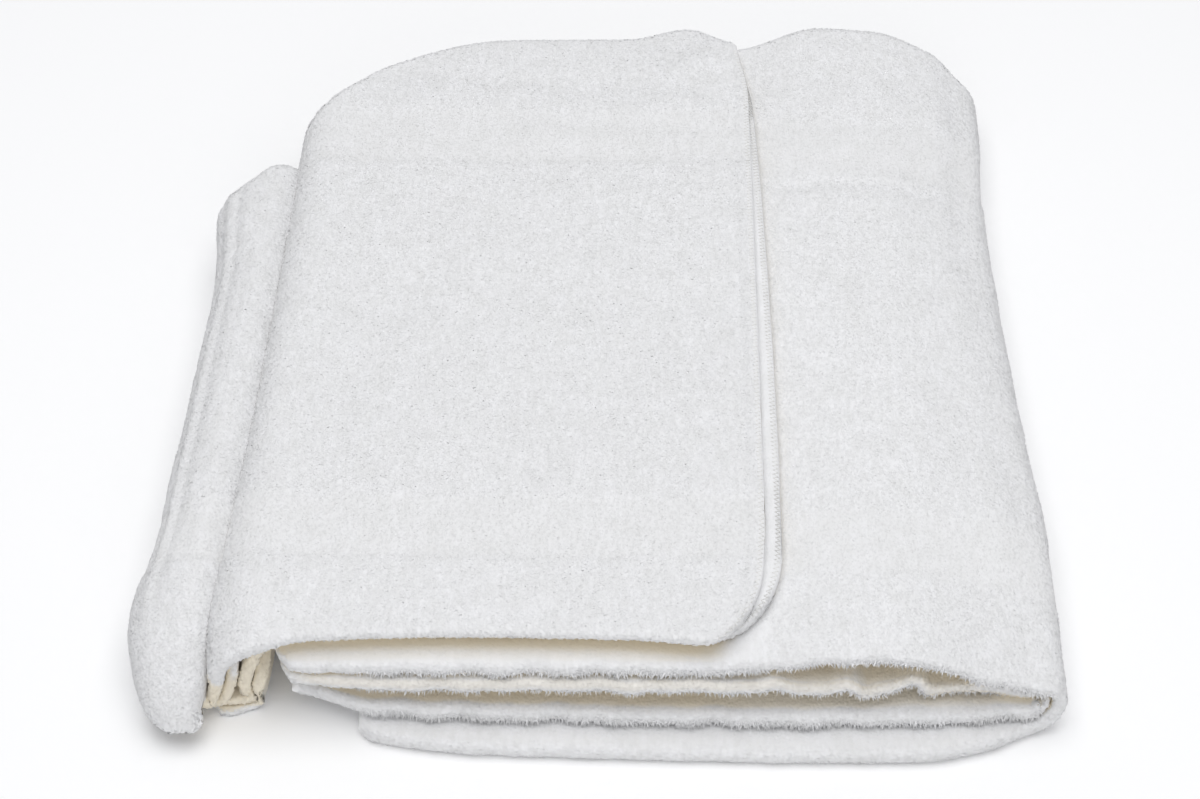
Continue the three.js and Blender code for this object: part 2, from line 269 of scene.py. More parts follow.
@dataclass
class FoldedStrip:
    """The cloth folded in half and laid along the fold path. All sizes are in millimetres.

    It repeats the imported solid's own sizes, so that the cloth lies where the solid is.
    """

    slit: float = 0.6
    lip: float = 2.2
    corner_width: float = 21.0
    corner_depth: float = 34.0
    end_round: float = 3.0
    lower_lead: float = 24.0
    upper_lag: float = 6.0
    lead_fade: float = 70.0
    corner_tuck: float = 5.0
    tuck_depth: float = 75.0
    back_tuck: float = 4.5
    back_depths: tuple[float, float] = (315.0, 356.0)
    crown: float = 0.045
    crown_front: float = 10.0
    crown_back: float = 360.0
    tongue_root: float = 52.0
    tongue_tip: float = 2.8
    tongue_axis: float = -144.0
    crumple_length: float = 25.0
    crumple_depth: float = 0.55
    crumple_from: float = 40.0
    crumple_to: float = 330.0
    crumple_beat: float = 13.0
    crumple_shares: tuple[float, float, float] = (0.5, 0.36, 0.14)
    right_pinch: float = 0.42
    pinch_from: float = 115.0
    pinch_to: float = 140.0
    crease_shift: float = 3.2
    crease_x: float = -134.0
    crease_reach: float = 26.0
    crease_depths: tuple[float, float] = (30.0, 150.0)
    crease_heights: tuple[float, float] = (4.0, 14.0)
    sag: float = 4.4
    sag_top: float = 30.0
    sag_bottom: float = 10.0
    sag_floor: float = 5.0
    sag_depths: tuple[float, float] = (16.0, 48.0)
    ply_wave: float = 1.5
    ply_wave_length: float = 19.0
    ply_wave_start: float = 0.6
    ply_wave_heights: tuple[float, float] = (3.0, 12.0)
    bundle_x: tuple[float, float] = (-141.0, -115.0)
    nose_fall: float = 0.5
    nose_floor: float = 11.0
    nose_x: tuple[float, float] = (98.0, 154.0)
    nose_depths: tuple[float, float] = (12.0, 80.0)
    left_sway: tuple[float, float] = (-166.0, -140.0)
    right_sway: tuple[float, float] = (90.0, 150.0)

    def __post_init__(self) -> None:
        """Lays the path and reads the tables along it."""
        self.path = FoldPath(STRIP_FOLDS)
        self.length = self.path.length
        columns = ("ply", "wrap", "core", "back", "droop", "slack", "open_wrap", "open_core", "plump")
        self.table = {name: self.along(name) for name in columns}
        depths = [row.y for row in SIDE_WANDER]
        self.sway_left = SmoothTable(depths, [row.left for row in SIDE_WANDER])
        self.sway_right = SmoothTable(depths, [row.right for row in SIDE_WANDER])

    def along(self, column: str) -> SmoothTable:
        """One column of the fold table as a smooth value along the strip."""
        return SmoothTable(self.path.marks, [getattr(row, column) for row in STRIP_FOLDS])

    def mark(self, row: Fold) -> float:
        """The distance along the strip at which a row of the fold table stands."""
        return self.path.marks[STRIP_FOLDS.index(row)]

    def middle(self, distance: np.ndarray, y: np.ndarray) -> np.ndarray:
        """Returns: the middle of the strip at a distance along it and a depth from the front."""
        x, z = self.path.at(distance)
        swell = np.sin(np.pi * np.clip((y - self.crown_front) / (self.crown_back - self.crown_front), 0, 1))
        z = z * (1 + self.crown * swell)
        x = x + self.sway_left(y) * (1 - smoothstep(x, *self.left_sway))
        x = x + self.sway_right(y) * smoothstep(x, *self.right_sway)
        reach = np.clip((self.tongue_root - y) / (self.tongue_root - self.tongue_tip), 0, 1)
        closing = self.table["droop"](distance) * (1 - np.sqrt(1 - reach * reach))
        z = z * (1 - closing)
        right = self.right_pinch * smoothstep(-x, self.pinch_from, self.pinch_to)
        pinch = np.where(x < self.tongue_axis, 1, right)
        x = x + (self.tongue_axis - x) * closing * pinch
        x, z = self.settle(distance, x, y, z)
        return np.stack(np.broadcast_arrays(x, y, z), axis=-1)

    def settle(self, distance: np.ndarray, x: np.ndarray, y: np.ndarray,
               z: np.ndarray) -> tuple[np.ndarray, np.ndarray]:
        """Lets the front edges sink: the bundle's plies in soft waves, and the right fold to a nose.

        Args:
            distance: the distance along the strip.
            x: the places from left to right.
            y: the depths from the front.
            z: the heights.

        Returns:
            The settled x and z.
        """
        inside = (distance > self.mark(INNER_LEG[0])) & (distance < self.mark(FLAP[0]))
        width = self.bundle_x[1] - self.bundle_x[0]
        across = np.clip((x - self.bundle_x[0]) / width, 0, 1)
        plies = inside * np.sin(np.pi * across) ** 0.5
        near = 1 - smoothstep(y, *self.sag_depths)
        low = 1 - np.clip((z - self.sag_bottom) / (self.sag_top - self.sag_bottom), 0, 1)
        above_floor = smoothstep(z, self.sag_floor, self.sag_bottom)
        settled_z = z - self.sag * plies * near * low * above_floor
        wave = np.sin(2 * np.pi * z / self.ply_wave_length + self.ply_wave_start)
        sway = wave * smoothstep(z, *self.ply_wave_heights)
        settled_x = x + self.ply_wave * plies * near * sway
        strength = self.crease_shift * (1 - smoothstep(y, *self.crease_depths))
        shift = strength * bump(x, self.crease_x, self.crease_reach)
        settled_x = settled_x - shift * smoothstep(z, *self.crease_heights)
        fall = smoothstep(x, *self.nose_x) * (1 - smoothstep(y, *self.nose_depths))
        settled_z = settled_z - self.nose_fall * fall * np.maximum(0, z - self.nose_floor)
        return settled_x, settled_z

    def frame(self, distance: np.ndarray, y: np.ndarray) -> tuple[np.ndarray, np.ndarray, np.ndarray]:
        """Returns: the middle point, the way inwards along the depth, and the way out of the wrap layer."""
        step = 0.05
        point = self.middle(distance, y)
        forward = self.middle(distance + step, y) - self.middle(distance - step, y)
        inwards = self.middle(distance, y + step) - point
        inwards /= np.linalg.norm(inwards, axis=-1, keepdims=True)
        out = np.cross(inwards, forward)
        out /= np.linalg.norm(out, axis=-1, keepdims=True)
        return point, inwards, out

    def layer_distance(self, distance: np.ndarray, layer: np.ndarray, y: np.ndarray) -> np.ndarray:
        """Returns: where along the strip a layer's cloth is, since its layers end at different places.

        Args:
            distance: the distance along the core layer.
            layer: from 1 on the wrap layer, round the back fold, to -1 on the core layer.
            y: the depth from the front.
        """
        apart = 1 - np.clip(y / self.table["back"](distance), 0, 1) ** 3
        on_wrap = np.maximum(layer, 0) * apart
        lower = np.maximum(0, 1 - distance / self.lead_fade)
        upper = np.maximum(0, 1 - (self.length - distance) / self.lead_fade)
        front_tuck = self.corner_tuck * (1 - smoothstep(y, self.lip, self.tuck_depth))
        tuck = front_tuck + self.back_tuck * smoothstep(y, *self.back_depths)
        return distance + lower * self.lower_lead * on_wrap + upper * (self.upper_lag * on_wrap - tuck)

    def front(self, distance: np.ndarray, side: Side) -> np.ndarray:
        """Returns: the depth of a layer's front edge, further back at the rounded hem corners."""
        table = self.table["wrap" if side is Side.WRAP else "core"]
        short = np.clip(1 - (self.length - distance) / self.corner_width, 0, 1)
        setback = self.corner_depth * (1 - np.sqrt(1 - short * short))
        return table(self.layer_distance(distance, np.array(float(side.value)), np.array(0.0))) + setback

    def crumple(self, distance: np.ndarray, y: np.ndarray) -> np.ndarray:
        """Returns: how far the core layer stands off the wrap layer, in crumples that fade inwards."""
        beat = np.cos(2 * np.pi * distance / self.crumple_beat + 1)
        even, long, short = self.crumple_shares
        ripple = even + long * np.cos(2 * np.pi * distance / self.crumple_length) + short * beat
        fade = 1 - smoothstep(y, self.crumple_from, self.crumple_to)
        return self.table["slack"](distance) * (1 - self.crumple_depth * ripple) * fade


@dataclass(frozen=True)
class Crease:
    """A soft trough, or a ridge where depth is negative, pressed into one open face. Millimetres.

    It runs from one point to another, seen from above, and fades out over its ends.
    """

    x_from: float
    y_from: float
    x_to: float
    y_to: float
    width: float
    depth: float

    def at(self, x: np.ndarray, y: np.ndarray) -> np.ndarray:
        """Returns: how deep the crease is under each point."""
        along = np.array((self.x_to - self.x_from, self.y_to - self.y_from), float)
        length = float(np.linalg.norm(along))
        along /= length
        run = (x - self.x_from) * along[0] + (y - self.y_from) * along[1]
        off = (x - self.x_from) * along[1] - (y - self.y_from) * along[0]
        fade = smoothstep(run, -self.width, self.width) * smoothstep(length - run, -self.width, self.width)
        return self.depth * bump(off, 0, self.width) * fade


@dataclass(frozen=True)
class WovenBand:
    """A flat-woven border band across the pile, from one depth to another. Millimetres."""

    front: float
    back: float
    sunk: float
    edge: float = 3.0

    def at(self, y: np.ndarray) -> np.ndarray:
        """Returns: 1 inside the band and 0 on the pile."""
        begun = smoothstep(y, self.front, self.front + self.edge)
        ended = smoothstep(y, self.back - self.edge, self.back)
        return begun * (1 - ended)


FLAP_CREASES = (
    Crease(-116, 50, -120, 300, 26, 2.0),
    Crease(-95, 330, 40, 318, 10, 0.6),
    Crease(-60, 300, 52, 292, 9, 0.5),
    Crease(-105, 120, -60, 250, 20, 0.6),
    Crease(-20, 90, 30, 200, 26, 0.5),
    Crease(20, 330, 50, 345, 12, -1.2),
)
CREST_CREASES = (
    Crease(62, 262, 142, 262, 5, 1.3),
    Crease(95, 270, 125, 268, 5, -0.9),
    Crease(66, 303, 140, 308, 9, 0.9),
    Crease(142, 215, 152, 330, 9, 0.9),
    Crease(118, 40, 136, 150, 22, 0.6),
    Crease(80, 340, 130, 335, 14, 0.6),
)


@dataclass(frozen=True)
class SeamLine:
    """A soft ridge that runs front to back at one distance past a corner of the strip. Millimetres."""

    corner: Fold
    past: float
    width: float
    rise: float


SEAM_LINES = (
    SeamLine(RIDGE[2], -0.6, 2.8, -0.6),
    SeamLine(RIDGE[2], 2.6, 2.8, 0.6),
    SeamLine(RIDGE[2], 6.0, 2.8, -0.7),
    SeamLine(RIDGE[2], 9.6, 3.4, 0.4),
    SeamLine(FLAP[5], -6.4, 2.0, -0.5),
    SeamLine(FLAP[5], -3.6, 2.4, 0.35),
)
BANDS = (WovenBand(52, 83, 0.35), WovenBand(268, 306, 0.6))


def hex_colour(code: str) -> tuple[float, float, float, float]:
    """The linear colour of an sRGB hex code such as "F4F3F0"."""
    def linear(channel: float) -> float:
        """One sRGB channel made linear."""
        return channel / 12.92 if channel <= 0.04045 else ((channel + 0.055) / 1.055) ** 2.4

    red, green, blue = (linear(int(code[i : i + 2], 16) / 255) for i in (0, 2, 4))
    return red, green, blue, 1.0


def add_node(tree: bpy.types.NodeTree, kind: str, settings: dict | None = None, inputs: dict | None = None,
             links: dict | None = None) -> bpy.types.Node:
    """Adds one node with its settings, socket values and incoming links.

    Args:
        tree: the node tree.
        kind: the node's type name.
        settings: the node's own properties.
        inputs: values by socket name or number.
        links: the outgoing socket that feeds each input, by socket name or number.

    Returns:
        The new node.
    """
    node = tree.nodes.new(kind)
    for name, value in (settings or {}).items():
        setattr(node, name, value)
    for name, value in (inputs or {}).items():
        node.inputs[name].default_value = value
    for name, socket in (links or {}).items():
        tree.links.new(socket, node.inputs[name])
    return node


@dataclass(frozen=True)
class TerryCotton:
    """Bleached ring-spun cotton, woven with a looped pile: matt and soft, with light scattered within it.

    Loops stand about 1.2 mm apart, which the bump draws between the modelled tufts. Where folds close
    over it a beige shade is painted into the white, for the dim light that has passed through other layers.
    """

    name: str = "bleached_cotton_terry"
    pile_colour: str = "EFEFF0"
    shade_colour: str = "E8E8E8"
    band_colour: str = "D8D7D4"
    band_shade: float = 0.12
    fold_shade_colour: str = "F1E8D5"
    loop_size: float = 1.2
    patch_size: float = 9.0
    streak_size: float = 2.2
    streak_length: float = 4.0
    roughness: float = 0.95
    sheen: float = 0.25
    bump_height: float = 0.3
    bump_strength: float = 0.6
    loop_softness: float = 0.6
    patch_roughness: float = 0.6
    specular: float = 0.2
    mottled_from: float = 0.12
    mottled_to: float = 0.38
    closed_below: float = 0.15
    open_above: float = 0.9

    def build(self) -> bpy.types.Material:
        """Returns: the cloth's material, which reads the "open" attribute to paint beige shade into its
        folds.
        """
        material = bpy.data.materials.new(self.name)
        material.use_nodes = True
        tree = material.node_tree
        shader = tree.nodes["Principled BSDF"]
        place = add_node(tree, "ShaderNodeTexCoord").outputs["Object"]
        patches = add_node(
            tree, "ShaderNodeTexNoise",
            inputs={"Scale": 1 / (self.patch_size * MM), "Detail": 3.0, "Roughness": self.patch_roughness},
            links={"Vector": place},
        )
        stretched = add_node(
            tree, "ShaderNodeMapping", inputs={"Scale": (1.0, 1 / self.streak_length, 1.0)},
            links={"Vector": place},
        )
        streaks = add_node(
            tree, "ShaderNodeTexNoise", inputs={"Scale": 1 / (self.streak_size * MM), "Detail": 2.0},
            links={"Vector": stretched.outputs["Vector"]},
        )
        mottled = add_node(
            tree, "ShaderNodeMath", {"operation": "MULTIPLY"},
            links={0: patches.outputs["Fac"], 1: streaks.outputs["Fac"]},
        )
        mottling = add_node(
            tree, "ShaderNodeMapRange", inputs={"From Min": self.mottled_from, "From Max": self.mottled_to},
            links={"Value": mottled.outputs[0]},
        )
        openness = add_node(tree, "ShaderNodeAttribute", {"attribute_name": "open"})
        shade = add_node(
            tree, "ShaderNodeMix", {"data_type": "RGBA"},
            inputs={6: hex_colour(self.shade_colour), 7: hex_colour(self.pile_colour)},
            links={"Factor": mottling.outputs["Result"]},
        )
        banded = add_node(tree, "ShaderNodeAttribute", {"attribute_name": "band"})
        faint = add_node(
            tree, "ShaderNodeMath", {"operation": "MULTIPLY"}, {1: self.band_shade},
            {0: banded.outputs["Fac"]},
        )
        woven = add_node(
            tree, "ShaderNodeMix", {"data_type": "RGBA"},
            inputs={7: hex_colour(self.band_colour)},
            links={"Factor": faint.outputs[0], 6: shade.outputs[2]},
        )
        # Painted shade: where the "open" share is low, the beige fold shade colour is mixed into the cloth's
        # colour.
        closed = add_node(
            tree, "ShaderNodeMapRange", {"interpolation_type": "SMOOTHSTEP"},
            inputs={"From Min": self.closed_below, "From Max": self.open_above},
            links={"Value": openness.outputs["Fac"]},
        )
        colour = add_node(
            tree, "ShaderNodeMix", {"data_type": "RGBA"},
            inputs={6: hex_colour(self.fold_shade_colour)},
            links={"Factor": closed.outputs["Result"], 7: woven.outputs[2]},
        )
        loops = add_node(
            tree, "ShaderNodeTexVoronoi", {"feature": "SMOOTH_F1"},
            inputs={"Scale": 1 / (self.loop_size * MM), "Smoothness": self.loop_softness},
            links={"Vector": place},
        )
        relief = add_node(
            tree, "ShaderNodeBump", {"invert": True},
            inputs={"Strength": self.bump_strength, "Distance": self.bump_height * MM},
            links={"Height": loops.outputs["Distance"]},
        )
        tree.links.new(colour.outputs[2], shader.inputs["Base Color"])
        tree.links.new(relief.outputs["Normal"], shader.inputs["Normal"])
        shader.inputs["Roughness"].default_value = self.roughness
        shader.inputs["Sheen Weight"].default_value = self.sheen
        shader.inputs["Specular IOR Level"].default_value = self.specular
        return material


@dataclass(frozen=True)
class OverlockThread:
    """Spun polyester sewing thread, white: a little smoother and brighter than the cotton it binds."""

    name: str = "polyester_overlock_thread"
    colour: str = "F1F0EC"
    roughness: float = 0.7
    sheen: float = 0.1
    twist_size: float = 0.6
    twist_height: float = 0.1
    twist_strength: float = 0.4

    def build(self) -> bpy.types.Material:
        """Returns: the thread's material, with a fine twist along it."""
        material = bpy.data.materials.new(self.name)
        material.use_nodes = True
        tree = material.node_tree
        shader = tree.nodes["Principled BSDF"]
        place = add_node(tree, "ShaderNodeTexCoord").outputs["Object"]
        twist = add_node(
            tree, "ShaderNodeTexNoise", inputs={"Scale": 1 / (self.twist_size * MM), "Detail": 1.0},
            links={"Vector": place},
        )
        relief = add_node(
            tree, "ShaderNodeBump",
            inputs={"Strength": self.twist_strength, "Distance": self.twist_height * MM},
            links={"Height": twist.outputs["Fac"]},
        )
        tree.links.new(relief.outputs["Normal"], shader.inputs["Normal"])
        shader.inputs["Base Color"].default_value = hex_colour(self.colour)
        shader.inputs["Roughness"].default_value = self.roughness
        shader.inputs["Sheen Weight"].default_value = self.sheen
        return material


@dataclass
class TerryCloth:
    """The cloth itself: one closed sheet on the solid's folds, before its pile. Millimetres."""

    strip: FoldedStrip
    middle_x: float = -1.93
    middle_y: float = 186.25
    pile_height: float = 0.7
    plump_depths: tuple[float, float] = (8.0, 45.0)
    lip_round: float = 2.6
    lip_blunt: float = 0.75
    puffed_lip: float = 2.2
    tongue_lip: float = 0.75
    face_stations: int = 108
    ring_samples: int = 6000
    face_crowding: float = 1.25
    lip_stations: int = 7
    bend_stations: int = 9
    near_knots: tuple[float, ...] = (8, 12, 16, 20, 25, 30, 36, 44, 52)
    near_shares: int = 6
    near_step: float = 0.4
    ring_spacing: float = 3.3
    bend_crowding: float = 1.4
    tight_bend: float = 12.0
    end_crowding: float = 9.0
    end_zone: float = 5.0
    seam_crowding: float = 2.2
    seam_middle: float = 4.0
    seam_zone: float = 18.0
    end_fullness: float = 0.93
    floor_snap: float = 0.7
    hem_width: float = 2.6
    hem_rise: float = 0.2
    hem_solid: float = 0.6
    seam_depths: tuple[float, float] = (18.0, 60.0)
    lump_height: float = 0.9
    lump_size: float = 26.0
    lump_share: float = 0.7
    small_lump_share: float = 0.5
    small_lump_rate: float = 2.7
    flap_lead: float = 6.0
    relief_fade: float = 12.0
    edge_wave: float = 1.6
    edge_size: float = 11.0
    edge_seed: float = 7.0
    edge_fade: tuple[float, float] = (10.0, 40.0)
    neat_lip: float = 0.2
    lip_inset: float = 0.8
    hang_x: tuple[float, float] = (-100.0, -75.0)
    hang_angles: tuple[float, float] = (1.0, 1.5)
    hang_under: float = 0.3
    # Openness rays: points that see little open air take painted beige shade.
    openness_rays: int = 20
    openness_reach: float = 20.0
    openness_spread: float = 0.75
    openness_start: float = 0.4
    openness_seed: int = 5
    flap_middle: float = 185.0
    # Painted shade: how strongly beige fold shade is painted on the inner plies, the upper run's core lip and
    # the folds, and where it is held back.
    crease_shade_cut: float = 0.75
    hem_shade_cut: float = 0.85
    cream: float = 0.8
    painted_shade_heights: tuple[float, float] = (1.5, 4.0)
    painted_shade_stations: tuple[float, float] = (2.0, 5.0)
    crumple_painted_shade: float = 0.42
    fold_shade_fade: float = 8.0
    painted_shade_depths: tuple[float, float] = (30.0, 60.0)
    band_flatness: float = 0.4
    flat_size: tuple[float, float] = (0.70, 0.89)

    def ring_distances(self) -> np.ndarray:
        """Returns: the rings' distances along the strip, crowded in tight bends and at the free ends."""
        fine = np.linspace(0, self.strip.length, self.ring_samples)
        i = np.clip(np.searchsorted(self.strip.path.starts, fine, side="right") - 1, 0, None)
        curve = np.abs(self.strip.path.curves[i])
        to_end = np.minimum(fine, self.strip.length - fine)
        weight = 1 + self.bend_crowding * np.clip(curve * self.tight_bend, 0, 1)
        weight += self.end_crowding * np.exp(-to_end / self.end_zone * 2)
        ridge = self.strip.mark(RIDGE[2]) + self.seam_middle
        weight += self.seam_crowding * bump(fine, ridge, self.seam_zone)
        total = np.concatenate([[0], np.cumsum((weight[1:] + weight[:-1]) / 2 * np.diff(fine))])
        count = int(total[-1] / self.ring_spacing)
        return np.interp(np.linspace(0, total[-1], count), total, fine)

    def relief(self, point: np.ndarray, distance: np.ndarray, y: np.ndarray, side: Side) -> np.ndarray:
        """Returns: how far an open outer face stands above its plain height.

        Args:
            point: the face's plain places.
            distance: the distance along the strip.
            y: the depth from the front.
            side: which layer the face belongs to.
        """
        x = point[..., 0]
        rise = np.zeros(x.shape)
        on_flap = distance > self.strip.mark(FLAP[0]) - self.flap_lead
        for crease in CREST_CREASES if side is Side.WRAP else FLAP_CREASES:
            rise -= np.where((side is Side.WRAP) | on_flap, crease.at(x, y), 0)
        for seam in SEAM_LINES:
            line = bump(distance, self.strip.mark(seam.corner) + seam.past, seam.width)
            rise += seam.rise * line * smoothstep(y, *self.seam_depths)
        for band in BANDS:
            rise -= band.sunk * band.at(y)
        flat = point.reshape(-1, 3) / self.lump_size
        large = np.array([noise.noise(Vector(place)) for place in flat])
        small = np.array([noise.noise(Vector(place * self.small_lump_rate)) for place in flat])
        lumps = large + self.small_lump_share * small
        return rise + self.lump_height * lumps.reshape(x.shape) * self.lump_share

    def openness(self, distance: np.ndarray, side: Side) -> np.ndarray:
        """Returns: how far a layer's outer face lies open, from the fold table."""
        return self.strip.table["open_wrap" if side is Side.WRAP else "open_core"](distance)

    def end_share(self, distance: np.ndarray) -> np.ndarray:
        """Returns: a layer's share of its thickness, rounded off at the strip's free ends."""
        to_end = np.minimum(distance, self.strip.length - distance)
        short = self.end_fullness * np.clip(1 - to_end / self.strip.end_round, 0, 1)
        return np.sqrt(1 - short * short)

    def hem(self, distance: np.ndarray) -> np.ndarray:
        """Returns: 1 on the sewn hem along the free ends and 0 on the rest of the cloth."""
        to_end = np.minimum(distance, self.strip.length - distance)
        return 1 - smoothstep(to_end, self.hem_width * self.hem_solid, self.hem_width)

    def inner_plies(self, distance: np.ndarray) -> np.ndarray:
        """Returns: 1 on the plies folded up inside the bundle, whose ends take painted beige shade, and 0
        elsewhere.
        """
        start, end = self.strip.mark(INNER_LEG[0]), self.strip.mark(FLAP[0]) - 16
        outside = (distance > self.strip.mark(FLOOR_PASS[1])) & (distance < self.strip.mark(RIDGE[3]) + 4)
        return smoothstep(distance, start - 6, start) * (1 - smoothstep(distance, end, end + 6)) * ~outside

    def lip_front(self, distance: np.ndarray, side: Side) -> np.ndarray:
        """Returns: the depth of a layer's lip, a little uneven along the strip and short of its pile."""
        steps = distance.ravel() / self.edge_size
        wave = np.array([noise.noise(Vector((step, self.edge_seed * side.value, 0))) for step in steps])
        loose = 1 - self.strip.table["droop"](distance)
        uneven = self.neat_lip + (1 - self.neat_lip) * self.ragged(distance, side)
        wander = self.edge_wave * wave.reshape(distance.shape) * uneven * self.table_fade(distance)
        return self.strip.front(distance, side) + (self.lip_inset + wander) * loose

    def ragged(self, distance: np.ndarray, side: Side) -> np.ndarray:
        """Returns: 1 where a lip is worn and uneven, inside the stack, and 0 on the neat outer ones."""
        upper = (distance > self.strip.mark(RIGHT_FOLD[1])) & (distance < self.strip.mark(INNER_LEG[0]))
        lower = (distance < self.strip.mark(RIGHT_FOLD[0])) & (side is Side.CORE)
        return (upper | lower).astype(float)

    def lip_depth(self, distance: np.ndarray) -> np.ndarray:
        """Returns: how far the rounded lip reaches, full on the lower run and thin on the tongue."""
        puffed = 1 - smoothstep(distance, self.strip.mark(LOWER_RUN[4]), self.strip.mark(RIGHT_FOLD[0]) + 5)
        full = self.lip_round + self.puffed_lip * puffed * self.table_fade(distance)
        return full * (1 - self.tongue_lip * self.strip.table["droop"](distance))

    def table_fade(self, distance: np.ndarray) -> np.ndarray:
        """Returns: 0 at the free ends, so that the hems stay straight, and 1 away from them."""
        return smoothstep(np.minimum(distance, self.strip.length - distance), *self.edge_fade)

    def place(self, distance: np.ndarray, y: np.ndarray, side: Side, height: np.ndarray) -> np.ndarray:
        """Returns: the place at a height off the strip's middle, on one side of it."""
        layered = self.strip.layer_distance(distance, np.array(float(side.value)), y)
        point, _, out = self.strip.frame(layered, y)
        off = self.strip.crumple(distance, y) if side is Side.CORE else 0.0
        return point + out * (side.value * (height + off))[..., None]

    def heights(self, distance: np.ndarray, side: Side, y: np.ndarray) -> tuple[np.ndarray, np.ndarray]:
        """Returns: the heights of a layer's inner and outer faces off the strip's middle."""
        ply = self.strip.table["ply"](distance)
        inset = self.pile_height * self.openness(distance, side)
        hem = self.hem_rise * self.hem(distance) * self.openness(distance, side)
        tongue = self.strip.table["droop"](distance) * (1 - smoothstep(y, *self.plump_depths))
        plump = self.strip.table["plump"](distance) * (1 - tongue) if side is Side.CORE else 0.0
        middle = self.strip.slit / 2 + (ply - inset + plump) / 2
        half = (ply - inset + plump + hem) / 2 * self.end_share(distance)
        return middle - half, middle + half

    def outer_face(self, distance: np.ndarray, side: Side) -> tuple[np.ndarray, np.ndarray]:
        """Returns: a layer's outer face from its lip to the back fold, and its depths."""
        column = distance[:, None]
        share = np.linspace(0, 1, self.face_stations)[None, :] ** self.face_crowding
        first = self.first_depth(distance, side)[:, None]
        y = first + (self.strip.table["back"](column) - first) * share
        return self.place(column, y, side, self.lifted(column, y, side)), y

    def lifted(self, distance: np.ndarray, y: np.ndarray, side: Side) -> np.ndarray:
        """Returns: the height of a layer's outer face off the strip's middle, with its creases and lumps."""
        _, outer = self.heights(distance, side, y)
        flat = self.place(distance, y, side, np.broadcast_to(outer, y.shape))
        amount = self.openness(distance, side) * self.end_share(distance)
        amount = amount * smoothstep(y - self.first_depth(distance, side), 0, self.relief_fade)
        return outer + self.relief(flat, distance + 0 * y, y, side) * amount

    def first_depth(self, distance: np.ndarray, side: Side) -> np.ndarray:
        """Returns: the depth at which a layer's flat faces start, behind its rounded lip."""
        front = self.lip_front(distance, side)
        layered = self.strip.layer_distance(distance, np.array(float(side.value)), front)
        _, inwards, _ = self.strip.frame(layered, front)
        return front + self.lip_depth(distance) * inwards[..., 1]

    def inner_face(self, distance: np.ndarray, side: Side) -> tuple[np.ndarray, np.ndarray]:
        """Returns: a layer's inner face from its lip to the back fold, and its depths."""
        column = distance[:, None]
        first = self.first_depth(distance, side)[:, None]
        steps = self.near_step * (1 + np.arange(len(self.near_knots)))[None, :]
        knots = np.maximum(np.array(self.near_knots)[None, :], first + steps)
        root = knots[:, -1:]
        share = np.arange(1, self.near_shares + 1)[None, :] / self.near_shares
        y = np.concatenate([first, knots, root + (self.strip.table["back"](column) - root) * share], axis=1)
        inner, _ = self.heights(column, side, y)
        return self.place(column, y, side, np.broadcast_to(inner, y.shape)), y

    def lip(self, distance: np.ndarray, side: Side) -> np.ndarray:
        """Returns: the rounded lip's places from a layer's outer face to its inner one."""
        column = distance[:, None]
        first = self.first_depth(distance, side)[:, None]
        inner, outer = self.heights(column, side, first)
        angle = np.linspace(0, np.pi, self.lip_stations + 2)[None, 1:-1]
        rise = np.sign(np.cos(angle)) * np.abs(np.cos(angle)) ** self.lip_blunt
        height = (inner + outer) / 2 + (outer - inner) / 2 * rise
        y = np.broadcast_to(first, height.shape)
        layered = self.strip.layer_distance(column, np.array(float(side.value)), y)
        _, inwards, _ = self.strip.frame(layered, y)
        reach = self.lip_depth(column) * np.sin(angle) ** self.lip_blunt
        return self.place(column, y, side, height) - inwards * reach[..., None]

    def lip_hang(self, distance: np.ndarray, side: Side) -> np.ndarray:
        """Returns: how far the lip's loose loops hang down, from its outer face to its inner one."""
        angle = np.linspace(0, np.pi, self.lip_stations + 2)[None, 1:-1]
        upper = (distance > self.strip.mark(RIGHT_FOLD[1])) & (distance < self.strip.mark(INNER_LEG[0]))
        lower = distance < self.strip.mark(RIGHT_FOLD[0])
        outer_up = upper if side is Side.WRAP else lower
        outer_down = (lower if side is Side.WRAP else upper) * (1.0 if side is Side.CORE else self.hang_under)
        inner_half = smoothstep(angle, *self.hang_angles)
        return outer_up[:, None] * inner_half + outer_down[:, None] * (1 - inner_half)

    def back_bend(self, distance: np.ndarray, outer: bool, stations: int) -> np.ndarray:
        """Returns: the round fold at the back, from the wrap layer to the core layer."""
        column = distance[:, None]
        angle = np.linspace(0, np.pi, stations + 2)[None, 1:-1]
        back = self.strip.table["back"](column)
        wrap = self.heights(column, Side.WRAP, back)[1 if outer else 0]
        core = self.heights(column, Side.CORE, back)[1 if outer else 0]
        share = angle / np.pi
        radius = wrap * (1 - share) + core * share
        y = back + radius * np.sin(angle)
        layered = self.strip.layer_distance(column, np.cos(angle), y)
        point, _, out = self.strip.frame(layered, y)
        return point + out * (radius * np.cos(angle))[..., None]

    def zones(self, distance: np.ndarray, side: Side) -> np.ndarray:
        """Returns: the pile zone of each ring's outer face."""
        zone = np.full(distance.shape, Zone.NONE.value)
        if side is Side.WRAP:
            low, high = self.strip.mark(RIGHT_FOLD[0]) - 12, self.strip.mark(UPPER_RUN[5])
            zone[(distance > low) & (distance < high)] = Zone.CREST.value
            return zone
        zone[distance > self.strip.mark(RIDGE[0]) - 10] = Zone.BUNDLE.value
        zone[distance > self.strip.mark(VALLEY[1])] = Zone.FLAP_FRONT.value
        return zone

